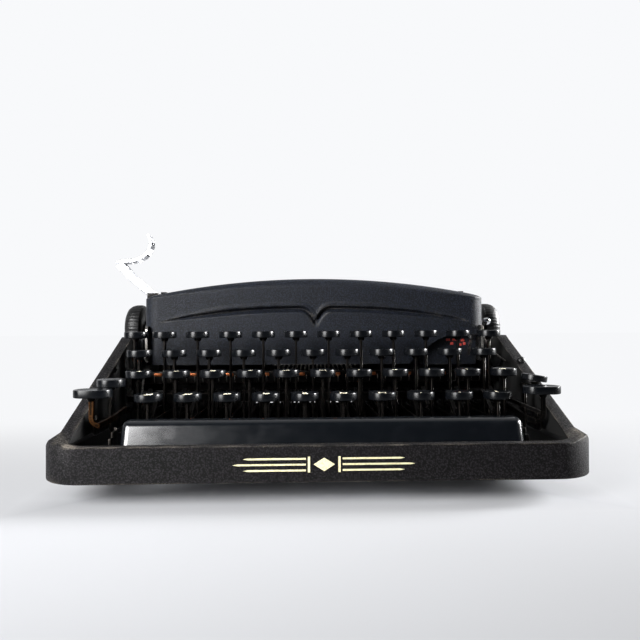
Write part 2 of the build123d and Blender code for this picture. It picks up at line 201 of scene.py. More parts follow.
def piece(name, parts, body, finishes, slotName, replaced=(), sharpAngle=38):
    whole = bmesh.new()
    for part in parts:
        spare = bpy.data.meshes.new("spare")
        part.to_mesh(spare)
        part.free()
        whole.from_mesh(spare)
        bpy.data.meshes.remove(spare)
    mesh = bpy.data.meshes.new(name)
    whole.to_mesh(mesh)
    whole.free()
    for finish in finishes:
        mesh.materials.append(finish)
    mesh.shade_smooth()
    mesh.set_sharp_from_angle(angle=radians(sharpAngle))
    made = bpy.data.objects.new(name, mesh)
    addToScene(made)
    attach(made, body)
    if replaced:
        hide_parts(*replaced)
    return made


# Finishes.
def linear(hexColour):
    channels = [int(hexColour[i:i + 2], 16) / 255 for i in (1, 3, 5)]
    return tuple(c / 12.92 if c <= 0.04045 else ((c + 0.055) / 1.055) ** 2.4 for c in channels) + (1.0,)


def addNode(tree, kind, settings=None, links=None):
    node = tree.nodes.new("ShaderNode" + kind)
    for key, value in (settings or {}).items():
        if isinstance(key, int) or key in node.inputs:
            node.inputs[key].default_value = value
        else:
            setattr(node, key, value)
    for key, socket in (links or {}).items():
        tree.links.new(socket, node.inputs[key])
    return node


def perMetre(size):
    # texture scale for a pattern whose grain is that many mm across
    return 1000 / size


def startFinish(name, colour, metallic, roughness):
    material = bpy.data.materials.new(name)
    material.use_nodes = True
    tree = material.node_tree
    shader = tree.nodes["Principled BSDF"]
    shader.inputs["Base Color"].default_value = linear(colour)
    shader.inputs["Metallic"].default_value = metallic
    shader.inputs["Roughness"].default_value = roughness
    return material, tree, shader, addNode(tree, "TexCoord").outputs["Object"]


def stretched(tree, spot, scale):
    return addNode(tree, "Mapping", {"Scale": scale}, {"Vector": spot}).outputs[0]


def noise(tree, spot, size, detail=3, roughness=0.5, distortion=0):
    return addNode(tree, "TexNoise", {"Scale": perMetre(size), "Detail": detail, "Roughness": roughness,
                                      "Distortion": distortion}, {"Vector": spot}).outputs["Fac"]


def ranged(tree, value, low, high, toLow=0, toHigh=1):
    return addNode(tree, "MapRange", {"From Min": low, "From Max": high, "To Min": toLow, "To Max": toHigh},
                   {"Value": value}).outputs[0]


def blended(tree, factor, first, second, mode="MIX"):
    # two colours, each a hex string or a socket
    mix = addNode(tree, "Mix", {"data_type": "RGBA", "blend_type": mode}, {0: factor})
    for key, colour in ((6, first), (7, second)):
        if isinstance(colour, str):
            mix.inputs[key].default_value = linear(colour)
        else:
            tree.links.new(colour, mix.inputs[key])
    return mix.outputs[2]


def times(tree, first, second):
    return addNode(tree, "Math", {"operation": "MULTIPLY"}, {0: first, 1: second}).outputs[0]


def rubbedEdges(tree):
    # where handling has worn an outside edge
    rounded = addNode(tree, "Bevel", {"samples": 4, "Radius": 0.9 * mm}).outputs[0]
    facing = addNode(tree, "NewGeometry").outputs["True Normal"]
    match = addNode(tree, "VectorMath", {"operation": "DOT_PRODUCT"}, {0: rounded, 1: facing})
    return ranged(tree, match.outputs["Value"], 0.997, 0.93)


def crinkleEnamel(name, colour, raised, worn, wear, shine):
    # Wrinkle enamel, sprayed and baked on cast iron: a fine pebbled skin with a dull sheen,
    # rubbed grey along the edges that hands touch.
    material, tree, shader, spot = startFinish(name, colour, 0.0, 0.5)
    grain = {"pebble": 0.85, "fine": 0.4, "height": 0.15}
    cells = addNode(tree, "TexVoronoi", {"feature": "SMOOTH_F1", "Scale": perMetre(grain["pebble"]),
                                         "Smoothness": 0.6}, {"Vector": spot}).outputs["Distance"]
    fine = noise(tree, spot, grain["fine"], 2)
    skin = addNode(tree, "Math", {"operation": "MULTIPLY_ADD", 1: -0.8}, {0: cells, 2: fine}).outputs[0]
    tops = ranged(tree, skin, 0.06, 0.36)
    shade = blended(tree, tops, colour, raised)
    patch = ranged(tree, noise(tree, spot, 14, 5, 0.65), 0.42, 0.62)
    rub = times(tree, times(tree, rubbedEdges(tree), patch), ranged(tree, fine, 0.3, 0.6))
    rub = addNode(tree, "Math", {"operation": "MULTIPLY", 1: wear}, {0: rub}).outputs[0]
    tree.links.new(blended(tree, rub, shade, worn), shader.inputs["Base Color"])
    tree.links.new(ranged(tree, tops, 0, 1, 0.6, 0.42), shader.inputs["Roughness"])
    shader.inputs["Specular IOR Level"].default_value = shine
    bump = addNode(tree, "Bump", {"Strength": 0.9, "Distance": grain["height"] * mm}, {"Height": skin})
    tree.links.new(bump.outputs[0], shader.inputs["Normal"])
    return material


def glossMoulding(name, colour, roughness, dust, shine=0.5):
    # Compression-moulded phenolic: deep gloss black with faint handling scratches.
    material, tree, shader, spot = startFinish(name, colour, 0.0, roughness)
    shader.inputs["Specular IOR Level"].default_value = shine
    smear = noise(tree, spot, 5, 4, 0.6)
    dull = ranged(tree, smear, 0.35, 0.7, roughness * 0.9, roughness * 1.2)
    tree.links.new(dull, shader.inputs["Roughness"])
    dusty = ranged(tree, smear, 0.5, 0.8, 0, 0.6)
    tree.links.new(blended(tree, dusty, colour, dust), shader.inputs["Base Color"])
    scratch = noise(tree, stretched(tree, spot, (1, 0.06, 1)), 0.3, 2)
    bump = addNode(tree, "Bump", {"Strength": 0.12, "Distance": 0.02 * mm}, {"Height": scratch})
    tree.links.new(bump.outputs[0], shader.inputs["Normal"])
    return material


def workedMetal(name, colour, darker, roughness, brushed, worn=None):
    # Steel, brass or plating as the press and the polishing wheel leave it: faint drawn lines,
    # cloudy tarnish and, where it is blacked, bright edges.
    material, tree, shader, spot = startFinish(name, colour, 1.0, roughness)
    cloud = ranged(tree, noise(tree, spot, 3.5, 5, 0.6), 0.38, 0.66)
    shade = blended(tree, cloud, colour, darker)
    if worn:
        shade = blended(tree, times(tree, rubbedEdges(tree), ranged(tree, cloud, 0, 1, 1, 0.4)),
                        shade, worn)
    tree.links.new(shade, shader.inputs["Base Color"])
    tree.links.new(ranged(tree, cloud, 0, 1, roughness * 0.85, roughness * 1.3), shader.inputs["Roughness"])
    lines = noise(tree, stretched(tree, spot, (1, 1, 0.04)), 0.25, 2)
    bump = addNode(tree, "Bump", {"Strength": brushed, "Distance": 0.02 * mm}, {"Height": lines})
    tree.links.new(bump.outputs[0], shader.inputs["Normal"])
    return material


def softRubber(name, colour, dusty, roughness):
    # Ground and vulcanised rubber: dull, with a fine turned texture and paper dust.
    material, tree, shader, spot = startFinish(name, colour, 0.0, roughness)
    dust = ranged(tree, noise(tree, spot, 6, 6, 0.7), 0.45, 0.75, 0, 0.7)
    tree.links.new(blended(tree, dust, colour, dusty), shader.inputs["Base Color"])
    shader.inputs["Specular IOR Level"].default_value = 0.2
    bump = addNode(tree, "Bump", {"Strength": 0.35, "Distance": 0.04 * mm},
                   {"Height": noise(tree, stretched(tree, spot, (2.5, 1, 1)), 0.5, 3)})
    tree.links.new(bump.outputs[0], shader.inputs["Normal"])
    return material


def brushPaint(name, colour, thin, roughness=0.45):
    # Transfer or brush paint: even, with thin patches where it has rubbed.
    material, tree, shader, spot = startFinish(name, colour, 0.0, roughness)
    tree.links.new(blended(tree, ranged(tree, noise(tree, spot, 0.9, 4, 0.6), 0.5, 0.75), colour, thin),
                   shader.inputs["Base Color"])
    return material


def inkedCloth(name):
    # Inked cotton tape: near black, with the over-and-under of a 0.3 mm weave.
    material, tree, shader, spot = startFinish(name, "#121217", 0.0, 0.75)
    wave = {"wave_type": "BANDS", "Scale": perMetre(1.2), "Distortion": 0.5}
    threads = [addNode(tree, "TexWave", {**wave, "bands_direction": way}, {"Vector": spot}) for way in "ZX"]
    weave = times(tree, threads[0].outputs["Fac"], threads[1].outputs["Fac"])
    tree.links.new(blended(tree, weave, "#0b0b0f", "#20202a"), shader.inputs["Base Color"])
    bump = addNode(tree, "Bump", {"Strength": 0.5, "Distance": 0.05 * mm}, {"Height": weave})
    tree.links.new(bump.outputs[0], shader.inputs["Normal"])
    return material


enamel = crinkleEnamel("black_wrinkle_enamel", "#030303", "#1d1b1d", "#6b655c", 0.8, 0.1)
coverEnamel = crinkleEnamel("cover_wrinkle_enamel", "#07090d", "#191d27", "#5d5a55", 0.5, 0.16)
# flat black for inside faces and the sheet under the works: painted shade
shadeBlack = softRubber("painted_shade_black", "#040404", "#090808", 0.85)
keyMoulding = glossMoulding("black_phenolic", "#050608", 0.24, "#0a0b0d", 0.13)
knobMoulding = glossMoulding("knob_hard_rubber", "#0b0b0c", 0.42, "#161515", 0.25)
barMoulding = glossMoulding("bar_phenolic", "#06080b", 0.2, "#0a0c10", 0.5)
blackedSteel = workedMetal("oil_blacked_steel", "#0b0b0c", "#050505", 0.45, 0.3, "#2a2724")
wornSteel = workedMetal("worn_brassy_steel", "#1c140d", "#0a0806", 0.42, 0.3, "#5c3c22")
brightSteel = workedMetal("ground_steel", "#a9a7a2", "#6f6b66", 0.28, 0.4)
chrome = workedMetal("polished_nickel", "#dadbde", "#b6b8bd", 0.1, 0.05)
satinNickel = workedMetal("satin_nickel", "#e2e3e6", "#c2c4c9", 0.5, 0.04)
copper = workedMetal("tarnished_copper", "#a3623b", "#5a3120", 0.35, 0.2)
platenRubber = softRubber("platen_rubber", "#151516", "#3a3937", 0.55)
footRubber = softRubber("foot_rubber", "#101010", "#2b2a28", 0.7)
legendPaint = brushPaint("ivory_legend_paint", "#ded6bd", "#b9ae90")
goldPaint = brushPaint("pale_gold_transfer", "#c9c19c", "#8d8666", 0.38)
redPaint = brushPaint("red_mark_paint", "#a8372c", "#6a241e")
ribbonCloth = inkedCloth("inked_ribbon_cloth")
steel = [brightSteel], "bright_steel"  # what most small pieces are made of, with their slot
steelAndBlack = [brightSteel, blackedSteel], "bright_steel"
print("finishes ready")


# The case.
case = {"edge": 1.1, "ornamentSink": 0.25, "roll": 1.7, "rollRun": 4, "lipDepth": 9, "lipHalf": 112,
        "lipBack": 12, "ledge": 22, "tuck": 0.8, "tuckBelow": 11.8}
shadowSheet = {"size": (218, 118, 0.8), "at": (0, 219, 9.9)}


def caseFrame():
    shape = soften(cadCopy("base_frame"), case["edge"], 3)
    for vert in shape.verts:  # the front face sits back by the thickness of its painted ornament
        vert.co.y = max(vert.co.y, frontY + case["ornamentSink"] * mm)
        onLip = vert.co.y < frontY + case["lipDepth"] * mm and abs(vert.co.x) < case["lipHalf"] * mm
        if onLip and vert.co.z > case["ledge"] * mm:
            vert.co.z -= case["roll"] * min(1, (vert.co.y - frontY) / (case["rollRun"] * mm)) * mm
        elif vert.co.z < case["tuckBelow"] * mm:
            vert.co.z += case["tuck"] * mm
    # inside walls, the back of the lip, the low ledges and the undersides get the flat black as painted shade
    for face in shape.faces:
        centre, facing = face.calc_center_median(), face.normal
        wallInside = facing.x * centre.x < -0.5 * abs(centre.x)
        lipInside = facing.y > 0.5 and centre.y < frontY + case["lipBack"] * mm
        ledge = facing.z > 0.5 and centre.z < case["ledge"] * mm
        face.material_index = 1 if wallInside or lipInside or ledge or facing.z < -0.5 else 0
    piece("case", [shape], "frame", [enamel, shadeBlack], "crinkle_enamel", ["base_frame"], 30)
    # a dark sheet under the works, where there is only shade: painted shadow that hides the floor's glow
    # between the levers
    shadowSheetShape = put(block(shadowSheet["size"], 0.2), shadowSheet["at"])
    piece("painted_shadow_sheet", [shadowSheetShape], "frame", [shadeBlack], "crinkle_enamel")


ornament = {"height": 18.6, "line": 0.75, "gap": 2.5, "inner": 8, "reach": 39.5, "step": 4.5}


def frontOrnament():
    # a plain diamond between two sets of tapering lines
    depth = case["ornamentSink"]
    inner, height = ornament["inner"], ornament["height"]
    parts = [put(plate([(-4.6, 0), (0, 2.9), (4.6, 0), (0, -2.9)], depth, 0, 0), (1, 0, height))]
    for x in (-5.6, 7.6):
        upright = plate([(-0.5, -3.4), (0.5, -3.4), (0.5, 3.4), (-0.5, 3.4)], depth, 0, 0)
        parts.append(put(upright, (x, 0, height)))
    for row in (-1, 0, 1):
        end = ornament["reach"] - abs(row) * ornament["step"]
        half = ornament["line"] / 2
        line = [(inner, -half), (end - 2, -half), (end, 0), (end - 2, half), (inner, half)]
        for side in (-1, 1):
            shape = plate(line, depth, 0, 0)
            if side < 0:
                mirrored(shape)
            parts.append(put(shape, (1, 0, height + row * ornament["gap"])))
    piece("front_ornament", parts, "frame", [goldPaint], "crinkle_enamel")


def screw(at, radius, turn, slotTurn):
    # a cheese-head screw facing along its own Z; its slot is a thin dark bar on the head, painted shade
    head = turned([(0, 0), (radius, 0), (radius, radius * 0.55), (radius * 0.85, radius * 0.7),
                   (0, radius * 0.72)], 20)
    # painted shade: the slot is a dark bar laid on the head
    cut = block((radius * 1.7, radius * 0.24, 0.25), 0)
    cut.transform(Matrix.Translation((0, 0, radius * 0.74 * mm)) @ Matrix.Rotation(radians(slotTurn), 4, "Z"))
    return [put(head, at, turn), put(cut, at, turn, 1)]


def caseFittings():
    inner = span("top_cover")[1] + 4.6
    parts = []
    for side in (-1, 1):
        parts += screw((side * (inner + 0.2), 128, 47), 2.6, (0, -90 * side, 0), 20)
    piece("case_screws", parts, "frame", *steelAndBlack)
    # left inner wall: slotted bracket, its slot a dark bar of painted shade, and the copper screw above it
    bracket = plate([(-111.2, 38), (-104, 38), (-104, 51), (-106.6, 54), (-111.2, 54)], 1.6, 1)
    parts = [put(bracket, (0, 93.4, 0)), put(block((1.5, 0.5, 9), 0.1), (-107.4, 93.3, 46), (0, 0, 0), 1),
             put(block((7, 7, 1.4)), (-107.7, 97.5, 38.7)),
             put(block((2, 1.2, 16), 0.2), (-102.9, 96.5, 44.5), (0, 8, 0))]
    piece("margin_bracket", parts, "frame", *steelAndBlack)
    parts = screw((-106.8, 101.5, 59.4), 2.9, (90, 0, 0), 75)
    parts += screw((-99.5, 88, 33), 1.9, (90, 0, 0), 10)
    piece("copper_screws", parts, "frame", [copper, blackedSteel], "bright_steel")
    # right inner wall: round release button, its rod, and a small stop button on the wall top
    button = turned([(0, 0), (3.2, 0), (4, 0.8), (4, 3.4), (3.2, 4.4), (0, 4.7)], 28)
    put(button, (106.6, 97, 57.6), (90, 0, 0))
    piece("release_button", [button], "frame", [knobMoulding], "black_bakelite")
    stop = turned([(0, -1.2), (2, -1.2), (2.3, 0.4), (1.9, 1.8), (0.9, 2.5), (0, 2.6)], 24)
    put(stop, (115.2, 75, 58.2), (60, 0, 0))
    piece("stop_button", [stop], "frame", [knobMoulding], "black_bakelite")
    rod = swept(bent([(102.2, 100, 71.4), (104.2, 96, 64), (109.6, 84, 57.5)]), 1.1, 1.1, sides=8)
    piece("release_rod", [rod], "frame", *steel)


caseFrame()
frontOrnament()
caseFittings()
print("case done")

# The top cover.
hood = {"front": 109.7, "wall": 2.0, "corner": 9.0, "rim": 6.5, "bow": 2.5, "cell": 1.1,
        "crown": 11.0, "frontDrop": 3.4, "rearDrop": 0.9, "shapedAbove": 93.0}
wing = {"top": 88.8, "tip": 81.2, "reach": 96.5, "bend": 9.5, "valley": 79.6, "width": 2.2, "depth": 3.0,
        "ridge": 0.5}
cutOut = {"start": 58.0, "end": 88.0, "top": 73.0, "level": 78.0}


def spread(start, end, step):
    count = max(1, round((end - start) / step))
    return [start + (end - start) * i / count for i in range(count + 1)]


def wingLine(x):
    # height of the pressed wing's centre line: a V in the middle and a long falling sweep
    if x < wing["bend"]:
        return wing["top"] - (wing["top"] - wing["valley"]) * (1 - x / wing["bend"]) ** 2.1
    along = (x - wing["bend"]) / (wing["reach"] - wing["bend"])
    return wing["top"] - (wing["top"] - wing["tip"]) * along ** 2


def wingPress(x, z):
    # how far the pressing goes in at a point of the front: steep under its upper edge, easing out below
    x = abs(x)
    slope = (wingLine(x + 0.2) - wingLine(max(0, x - 0.2))) / 0.4
    away = (z - wingLine(x)) / hypot(1, slope)
    fade = max(0.0, min(1.0, (wing["reach"] - x) / 40)) ** 0.7
    width = wing["width"] * fade * (0.6 + 0.4 * min(1, x / wing["bend"]))
    if width < 0.1 or abs(away) > 4 * width:
        return 0.0
    across = away / width
    press = sin(pi * ((across + 1) / 2) ** 1.9) * wing["depth"] * fade if abs(across) < 1 else 0.0
    ridge = max(0.0, 1 - ((across - 1.5) / 0.7) ** 2) * wing["ridge"] * fade
    return press - ridge


def strikeSlot(centre):
    # the opening in the top where the type reaches the paper
    back = (centre.y - frontY) / mm
    return abs(centre.x) < 22.6 * mm and back > 136.5 and centre.z > 95 * mm


def hoodShape(vert, half, z0, z1):
    x, z, back = vert.co.x / mm, vert.co.z / mm, (vert.co.y - frontY) / mm
    behind = (back - hood["front"]) / 40
    if back < hood["front"] + 0.01 and z < z1 - hood["rim"]:
        back += wingPress(x, z)
    back += hood["bow"] * (abs(x) / half) ** 2.6 * max(0.0, 1 - behind)
    drop = hood["crown"] * (x / half) ** 2 + hood["frontDrop"]
    drop += (hood["rearDrop"] - hood["frontDrop"]) * behind
    z -= drop * max(0.0, (z - hood["shapedAbove"]) / (z1 - hood["shapedAbove"]))
    if z < cutOut["level"] and x > cutOut["start"]:  # the cut-out over the ribbon setting
        rise = min(1, (x - cutOut["start"]) / (cutOut["end"] - cutOut["start"]))
        low = z0 + (cutOut["top"] - z0) * sin(rise * pi / 2)
        z = low + (z - z0) * (cutOut["level"] - low) / (cutOut["level"] - z0)
    vert.co = place(x, back, z)


def hoodShell():
    x0, x1, _, back1, z0, z1 = span("top_cover")
    depth = back1 - hood["front"]
    shape = block((x1 - x0, depth, z1 - z0), 0)
    shape.transform(Matrix.Translation(place(0, hood["front"] + depth / 2, (z0 + z1) / 2)))
    hidden = [f for f in shape.faces if f.normal.z < -0.9 or f.normal.y > 0.9]
    bmesh.ops.delete(shape, geom=hidden, context="FACES")
    uprights = [e for e in shape.edges if e.is_manifold and abs(e.verts[0].co.z - e.verts[1].co.z) > 10 * mm]
    roundEdges(shape, uprights, hood["corner"])
    rim = [e for e in shape.edges if e.is_manifold and e.calc_face_angle(0) > 1 and
           min(v.co.z for v in e.verts) > z1 * mm - 1e-6]
    roundEdges(shape, rim, hood["rim"])
    cuts = [((x, 0, 0), (1, 0, 0)) for x in spread(x0 + 10, x1 - 10, hood["cell"])]
    cuts += [((0, 0, z), (0, 0, 1)) for z in spread(58, 76, 3) + spread(76.4, z1 - 8, 0.42)]
    backs = spread(hood["front"] + 10, back1 - 1, 4)
    cuts += [((0, back - cadBox[1].y / mm, 0), (0, 1, 0)) for back in backs]
    for spot, across in cuts:
        bmesh.ops.bisect_plane(shape, geom=shape.verts[:] + shape.edges[:] + shape.faces[:], dist=1e-7,
                               plane_co=[c * mm for c in spot], plane_no=across)
    for vert in shape.verts:
        hoodShape(vert, (x1 - x0) / 2, z0, z1)
    slot = [f for f in shape.faces if strikeSlot(f.calc_center_median())]
    bmesh.ops.delete(shape, geom=slot, context="FACES")
    bmesh.ops.recalc_face_normals(shape, faces=shape.faces)
    if sum(f.normal.y * f.calc_area() for f in shape.faces) > 0:
        bmesh.ops.reverse_faces(shape, faces=shape.faces)
    bmesh.ops.solidify(shape, geom=shape.faces[:], thickness=hood["wall"] * mm)
    return shape


def topCover():
    shell = hoodShell()
    piece("top_cover_shell", [shell], "cover", [coverEnamel], "crinkle_enamel", ["top_cover"], 50)
    parts = []
    for side in (-1, 1):
        lug = plate([(108.5, 56.5), (121, 56.5), (121, 79), (108.5, 79)], 1.5, 3)
        inner = span("top_cover")[1] - hood["wall"] - 0.1
        parts.append(sideways(lug, inner if side > 0 else 1.5 - inner))
        parts += screw((side * (inner - 1.5), 117, 75), 1.8, (0, -90 * side, 0), 35)
    piece("cover_hinge_lugs", parts, "cover", *steelAndBlack)


def ribbonSelector():
    # fixed plate seen through the cover's cut-out, with its red setting marks
    panel = plate([(66, 54), (102.2, 54), (102.2, 71.8), (66, 71.8)], 1.2, 1.5)
    parts = [put(panel, (0, 117.4, 0))]
    for side in (-1, 1):
        parts.append(put(block((3.6, 3, 26), 0.4), (side * 109.5, 119, 58)))
    piece("ribbon_setting_plate", parts, "frame", [coverEnamel], "crinkle_enamel")
    marks = []
    for x, z, width in ((82.2, 69.6, 2.6), (86.6, 69.6, 3.4), (91.5, 69.2, 2.2), (84.6, 67.2, 2.0),
                        (89.4, 66.4, 2.8), (92.6, 67.0, 1.6)):
        marks.append(put(block((width, 0.4, 1.5), 0.15), (x + 2, 117.3, z)))
    piece("ribbon_setting_marks", marks, "frame", [redPaint], "crinkle_enamel")
    lever = swept(bent([(96.4, 114, 60), (96.4, 111.6, 66), (97.2, 110.6, 70)]), 1.6, 0.9, (0, 1, 0))
    tip = turned([(0, 0), (1.5, 0), (1.7, 0.6), (1.7, 2.2), (1.2, 3), (0, 3.1)], 20)
    piece("ribbon_setting_lever", [lever, put(tip, (97.2, 110.6, 69.6), (0, 0, 0), 1)], "frame",
          [brightSteel, knobMoulding], "bright_steel")


topCover()
ribbonSelector()
print("cover done")

# Keys.
cap = {"radius": 6.75, "height": 3.7, "dish": 0.55, "steps": 40, "tiltedTrim": 0.35, "tiltedThin": 0.7}
shiftSigns = {"2": '"', "3": "#", "4": "$", "5": "%", "6": "_", "7": "&", "8": "'", "9": "(", "0": ")"}
namedLegends = {"comma": ",", "period": ".", "slash": "?\n/", "semicolon": ":\n;", "apostrophe": "@\n'",
                "half": "¼\n½", "hyphen": "*\n-"}
leverLook = {"bottom": 26.0, "depth": 6, "strip": 1.2, "stem": 4.6, "fulcrum": 215.0, "fulcrumZ": 29.0,
             "eye": 6.0, "bore": 2.5}


def legendText(name):
    legend = name[len("key_"):]
    if legend in shiftSigns:
        return shiftSigns[legend] + "\n" + legend
    return namedLegends.get(legend, legend.upper())


def keyTop(radius, height):
    # a thick moulded disc with a polished rim and a finger dish
    dish = cap["dish"]
    return turned([(0, -height), (radius - 0.3, -height), (radius, -height + 0.3), (radius, -0.4),
                   (radius - 0.12, -0.12), (radius - 0.4, 0), (radius - 0.8, -0.08),
                   (radius * 0.72, -dish * 0.62), (radius * 0.4, -dish * 0.92), (0, -dish)], cap["steps"])


def legendMesh(words, size, at):
    text = bpy.data.curves.new("legend", "FONT")
    text.body = words
    text.size = size * mm
    text.align_x = "CENTER"
    text.align_y = "CENTER"
    text.space_line = 0.75
    text.resolution_u = 2
    text.offset = 0.05 * mm
    text.extrude = 0.06 * mm
    holder = bpy.data.objects.new("legend", text)
    addToScene(holder)
    bpy.context.view_layer.update()
    mesh = bpy.data.meshes.new_from_object(holder.evaluated_get(bpy.context.evaluated_depsgraph_get()))
    shape = bmesh.new()
    shape.from_mesh(mesh)
    bpy.data.objects.remove(holder)
    bpy.data.curves.remove(text)
    bpy.data.meshes.remove(mesh)
    bmesh.ops.remove_doubles(shape, verts=shape.verts, dist=0.001 * mm)
    return put(shape, at)


def leverPlate(x, front, stemTop, bottom=leverLook["bottom"]):
    # one pressed lever: a strip with its stem bent up from the front end and an eye round the shaft
    top, stem, end = bottom + leverLook["depth"], leverLook["stem"], leverLook["fulcrum"]
    outline = [(front + 0.5, stemTop), (front + 0.1, top + 2), (front, bottom + 2.2),
               (front + 2.6, bottom + 0.3), (end, bottom + 0.8), (end, top - 0.8), (front + 18, top - 0.2),
               (front + stem + 3, top + 0.8), (front + stem, top + 4), (front + stem - 0.6, stemTop)]
    shape = sideways(plate(outline, leverLook["strip"], 0, 0.18), x + leverLook["strip"] / 2)
    bore, eye, half = leverLook["bore"] + 0.1, leverLook["eye"], leverLook["strip"] / 2
    ring = turned([(bore, -half), (eye, -half), (eye, half), (bore, half), (bore, -half)], 24)
    return [shape, put(ring, (x, end, leverLook["fulcrumZ"]), (0, 90, 0))]


def brace(x, front):
    # the lifting link behind a front key's stem, with its hooked end
    path = bent([(x, front + 5.5, 31.5), (x, front + 15, 37.5), (x, front + 26, 43.5)], 3)
    hook = bent([(x, front + 7, 37), (x, front + 10.5, 31.9), (x, front + 14.5, 33),
                 (x, front + 15, 37.6)], 2.5)
    return [swept(path, 1.7, 2.0, (1, 0, 0)), swept(hook, 1.3, 1.3, (1, 0, 0), 6)]


def collar(x, back, top):
    return put(turned([(0, -1.9), (1.5, -1.9), (1.9, -1.3), (2.3, 0), (0, 0)], 14), (x, back, top))


def characterKey(name):
    x0, x1, back0, _, _, top = span(name)
    x, back = (x0 + x1) / 2, back0 + cap["radius"]
    under = top - cap["height"]
    face = keyTop(cap["radius"], cap["height"])
    piece(name + "_top", [put(face, (x, back, top))], name, [keyMoulding], "black_bakelite", [name])
    words = legendText(name)
    size = 4.1 if "\n" in words else 5.6
    legend = legendMesh(words, size, (x, back, top - cap["dish"] * 0.86))
    piece(name + "_legend", [legend], name, [legendPaint], "black_bakelite")
    front = back - leverLook["stem"] / 2
    parts = leverPlate(x, front, under + 0.3) + [collar(x, back, under)]
    if top < 60:
        parts += brace(x, front)
    piece(name + "_lever", parts, name, [blackedSteel], "key_lever")


def endKey(node, capAt, leverX, tilt=0):
    # a plain control key at the end of the keyboard; a tilted one has a slightly smaller top
    x, back, top = capAt
    trim, thin = (cap["tiltedTrim"], cap["tiltedThin"]) if tilt else (0, 0)
    face = keyTop(cap["radius"] - trim, cap["height"] - thin)
    face.transform(Matrix.Rotation(radians(tilt), 4, "Y"))
    piece(node + "_top", [put(face, (x - trim, back, top))], node, [keyMoulding], "black_bakelite", [node])
    front = back - leverLook["stem"] / 2
    reach = top - cap["height"] - (x - leverX) * sin(radians(tilt))
    parts = leverPlate(leverX, front, reach + 0.2) + [collar(x, back, top - cap["height"])]
    if abs(x - leverX) > 2:
        parts.append(put(block((abs(x - leverX) + 2, 3.2, 1.1), 0.2), ((x + leverX) / 2, back, reach - 0.4),
                         (0, tilt, 0)))
    piece(node + "_lever", parts, node, [blackedSteel], "key_lever")


def controlKeys():
    for node in ("back_space_key", "margin_release_key", "shift_lock_key", "tabulator_key"):
        x0, x1, back0, _, _, top = span(node)
        leverX = {"back_space_key": -105.2, "tabulator_key": 104.6}.get(node, (x0 + x1) / 2)
        tilt = 9 if node == "tabulator_key" else 0
        lowered = top - cap["radius"] * sin(radians(tilt)) if tilt else top
        endKey(node, ((x0 + x1) / 2, back0 + cap["radius"], lowered), leverX, tilt)


shiftLook = {"width": 18.0, "depth": 12.2, "capX": 107.6, "leverX": 108.4, "back": 27.6, "stemIn": 101.2}


def shiftKeys():
    top = span("shift_keys")[5]
    height = cap["height"]
    caps = []
    for side in (-1, 1):
        face = keyTop(shiftLook["depth"] / 2, height)
        stretch = (shiftLook["width"] - shiftLook["depth"]) / 2 * mm
        for way in (1, -1):
            half = [v for v in face.verts if v.co.x * way > 1e-6]
            bmesh.ops.translate(face, verts=half, vec=(way * stretch, 0, 0))
        caps.append(put(face, (side * shiftLook["capX"], shiftLook["back"], top)))
    piece("shift_key_tops", caps, "shift_keys", [keyMoulding], "black_bakelite", ["shift_keys"])
    levers, straps = [], []
    for side in (-1, 1):
        x, back = side * shiftLook["leverX"], shiftLook["back"]
        inner = side * shiftLook["stemIn"]
        # the strap: down from the cap, round under, and back up beside the lever
        path = bent([(x, back, top - height), (x, back, 33.5), (x - side * 3.5, back + 0.5, 31.4)], 3)
        straps.append(coat(swept(path, 1.8, 1.5, (0, 1, 0)), 1 if side > 0 else 0))
        path = bent([(x - side * 3.2, back + 0.4, 31.7), (inner, back + 7, 33.6),
                     (inner, back + 30, 35.6)], 3)
        straps.append(coat(swept(path, 1.4, 2.6, (0, 0, 1)), 1 if side > 0 else 0))
        levers += leverPlate(x, back + 2, 33.5)
        levers += [put(block((1.3, 3, 12), 0.2), (x, 199, 23.5)), collar(x, back, top - height)]
    levers.append(put(block((2 * shiftLook["leverX"] + 1.2, 3, 3), 0.5), (0, 199, 18.5)))
    x, inner = shiftLook["leverX"], shiftLook["stemIn"]
    path = bent([(x, back + 3, 35.6), (inner, back + 12, 38.8), (inner, back + 34, 39.4)], 3)
    straps.append(coat(swept(path, 0.9, 1.8, (0, 0, 1)), 1))
    piece("shift_key_straps", straps, "shift_keys", [wornSteel, blackedSteel], "key_lever")
    piece("shift_key_levers", levers, "shift_keys", [blackedSteel], "key_lever")


spacer = {"left": -89.8, "right": 92.6, "bottom": 25.4, "depth": 14.0, "back": 15, "corner": 4.0,
          "roll": 2.6, "lean": 3.6, "leverX": 95.25}


def spaceBar():
    top = span("space_bar")[5]
    shape = block((spacer["right"] - spacer["left"], spacer["depth"], top - spacer["bottom"]), 0)
    uprights = [e for e in shape.edges if abs(e.verts[0].co.z - e.verts[1].co.z) > 0.005]
    roundEdges(shape, uprights, spacer["corner"])
    high = max(v.co.z for v in shape.verts) - 1e-6
    rim = [e for e in shape.edges if min(v.co.z for v in e.verts) > high]
    roundEdges(shape, rim, spacer["roll"], 7)
    for vert in shape.verts:  # the front leans back a little towards the top
        if vert.co.y < 0:
            vert.co.y += spacer["lean"] * mm * (vert.co.z / (high * 2) + 0.5)
    middle, back, leverX = (spacer["left"] + spacer["right"]) / 2, spacer["back"], spacer["leverX"]
    put(shape, (middle, back, (top + spacer["bottom"]) / 2))
    piece("space_bar_grip", [shape], "space_bar", [barMoulding], "black_bakelite", ["space_bar"], 30)
    parts = [put(block((191.7, 3.6, 3.6), 0.9), (0, back, 19.5))]
    for side in (-1, 1):
        parts += leverPlate(side * leverX, 17, 30.5, 22.0)
        parts.append(put(block((1.2, 4, 8), 0.2), (side * leverX, 15.4, 24)))
        parts.append(put(turned([(0, 0), (2, 0), (2, 6), (3, 6.8), (0, 6.8)], 20), (side * 60, back, 20.5)))
    piece("space_bar_levers", parts, "space_bar", [blackedSteel], "key_lever")


for keyName in keyNames:
    characterKey(keyName)
controlKeys()
shiftKeys()
spaceBar()
print("keys done")


